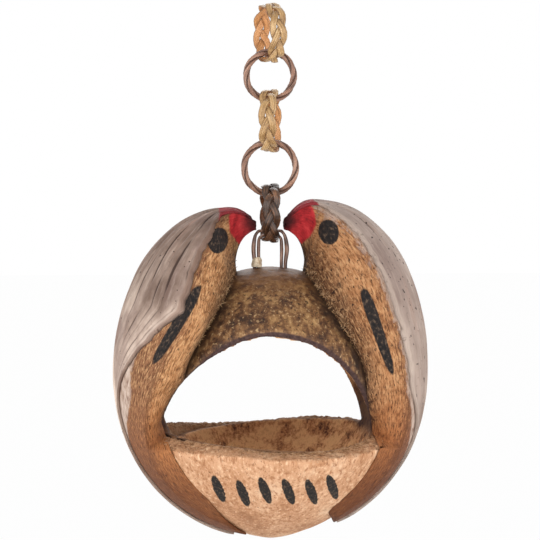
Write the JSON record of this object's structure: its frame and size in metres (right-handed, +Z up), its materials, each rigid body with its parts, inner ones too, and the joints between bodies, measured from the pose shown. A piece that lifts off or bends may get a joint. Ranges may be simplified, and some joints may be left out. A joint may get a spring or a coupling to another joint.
{
  "type": "hanging bird feeder",
  "caption": "Hanging bird feeder carved from a coconut: facing husk birds over an open half-moon shell and seed bowl, on a chain of twisted and plaited vine rings.",
  "frame": {"origin": "where a hook bears on the inner crown of the top link", "axes": "+Z up along the hanging line, -Y to the front with the lower sill on its right, +X to the right bird"},
  "size_m": [0.1637, 0.139, 0.2783],
  "materials": {
    "tan_vine": "dry, satin",
    "brown_vine": "glossy bark",
    "dark_vine": "matt bark",
    "glue": "matt",
    "shell": "scraped, satin",
    "bowl_husk": "sanded",
    "carved_husk": "fibrous, matt",
    "outer_skin": "dry, ridged"
  },
  "bodies": {
    "top_link": {"top_link": "tan_vine"},
    "upper_ring": {"upper_ring": "brown_vine"},
    "middle_link": {"middle_link": "tan_vine"},
    "lower_ring": {"lower_ring": "brown_vine"},
    "dark_link": {"dark_link": "dark_vine"},
    "feeder": {"hanger_tie": "brown_vine", "glue_plug": "glue", "shell": "shell", "bowl_husk": "bowl_husk", "left_bird": "carved_husk", "right_bird": "carved_husk", "left_skin": "outer_skin", "right_skin": "outer_skin"}
  },
  "joints": [
    {"name": "upper_ring_slip", "type": "hinge", "parent": "top_link", "child": "upper_ring", "pos_m": [0, 0, -0.03429], "axis": [0, 1, 0], "range_deg": [-35, 35]},
    {"name": "middle_link_swing", "type": "hinge", "parent": "upper_ring", "child": "middle_link", "pos_m": [0, 0, -0.04653], "axis": [1, 0, 0], "range_deg": [-40, 40]},
    {"name": "lower_ring_slip", "type": "hinge", "parent": "middle_link", "child": "lower_ring", "pos_m": [0, 0, -0.08182], "axis": [0, 1, 0], "range_deg": [-35, 35]},
    {"name": "dark_link_swing", "type": "hinge", "parent": "lower_ring", "child": "dark_link", "pos_m": [0, 0, -0.09516], "axis": [1, 0, 0], "range_deg": [-40, 40]},
    {"name": "feeder_swing", "type": "hinge", "parent": "dark_link", "child": "feeder", "pos_m": [0, 0, -0.11646], "axis": [1, 0, 0], "range_deg": [-40, 40]}
  ]
}
